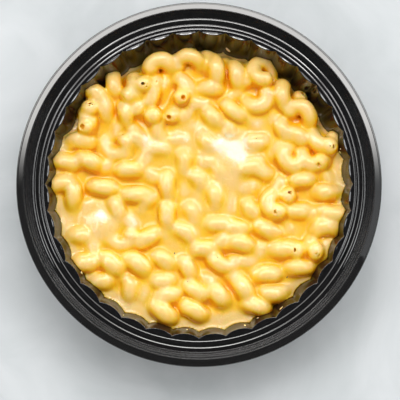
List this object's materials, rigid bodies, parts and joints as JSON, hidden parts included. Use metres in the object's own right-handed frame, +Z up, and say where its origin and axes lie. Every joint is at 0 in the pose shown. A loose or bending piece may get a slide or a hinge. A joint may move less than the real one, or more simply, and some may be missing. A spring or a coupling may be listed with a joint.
{
  "type": "macaroni and cheese in a take-away container",
  "caption": "Corkscrew macaroni in thick cheese sauce, filling a round black plastic take-away container with a fluted wall and a ribbed rim.",
  "frame": {"origin": "middle of the container's base, on the surface it stands on", "axes": "+Z up, +Y to the side where the macaroni stands clear of the wall, +X to the right as seen from the front"},
  "size_m": [0.216, 0.216, 0.042],
  "materials": {
    "container_plastic": "glossy black injection-moulded plastic",
    "cheese_sauce": "wet, smooth, pale yellow cheese sauce over cooked macaroni"
  },
  "bodies": {
    "root": {"container": "container_plastic", "macaroni_cheese": "cheese_sauce"}
  },
  "joints": []
}
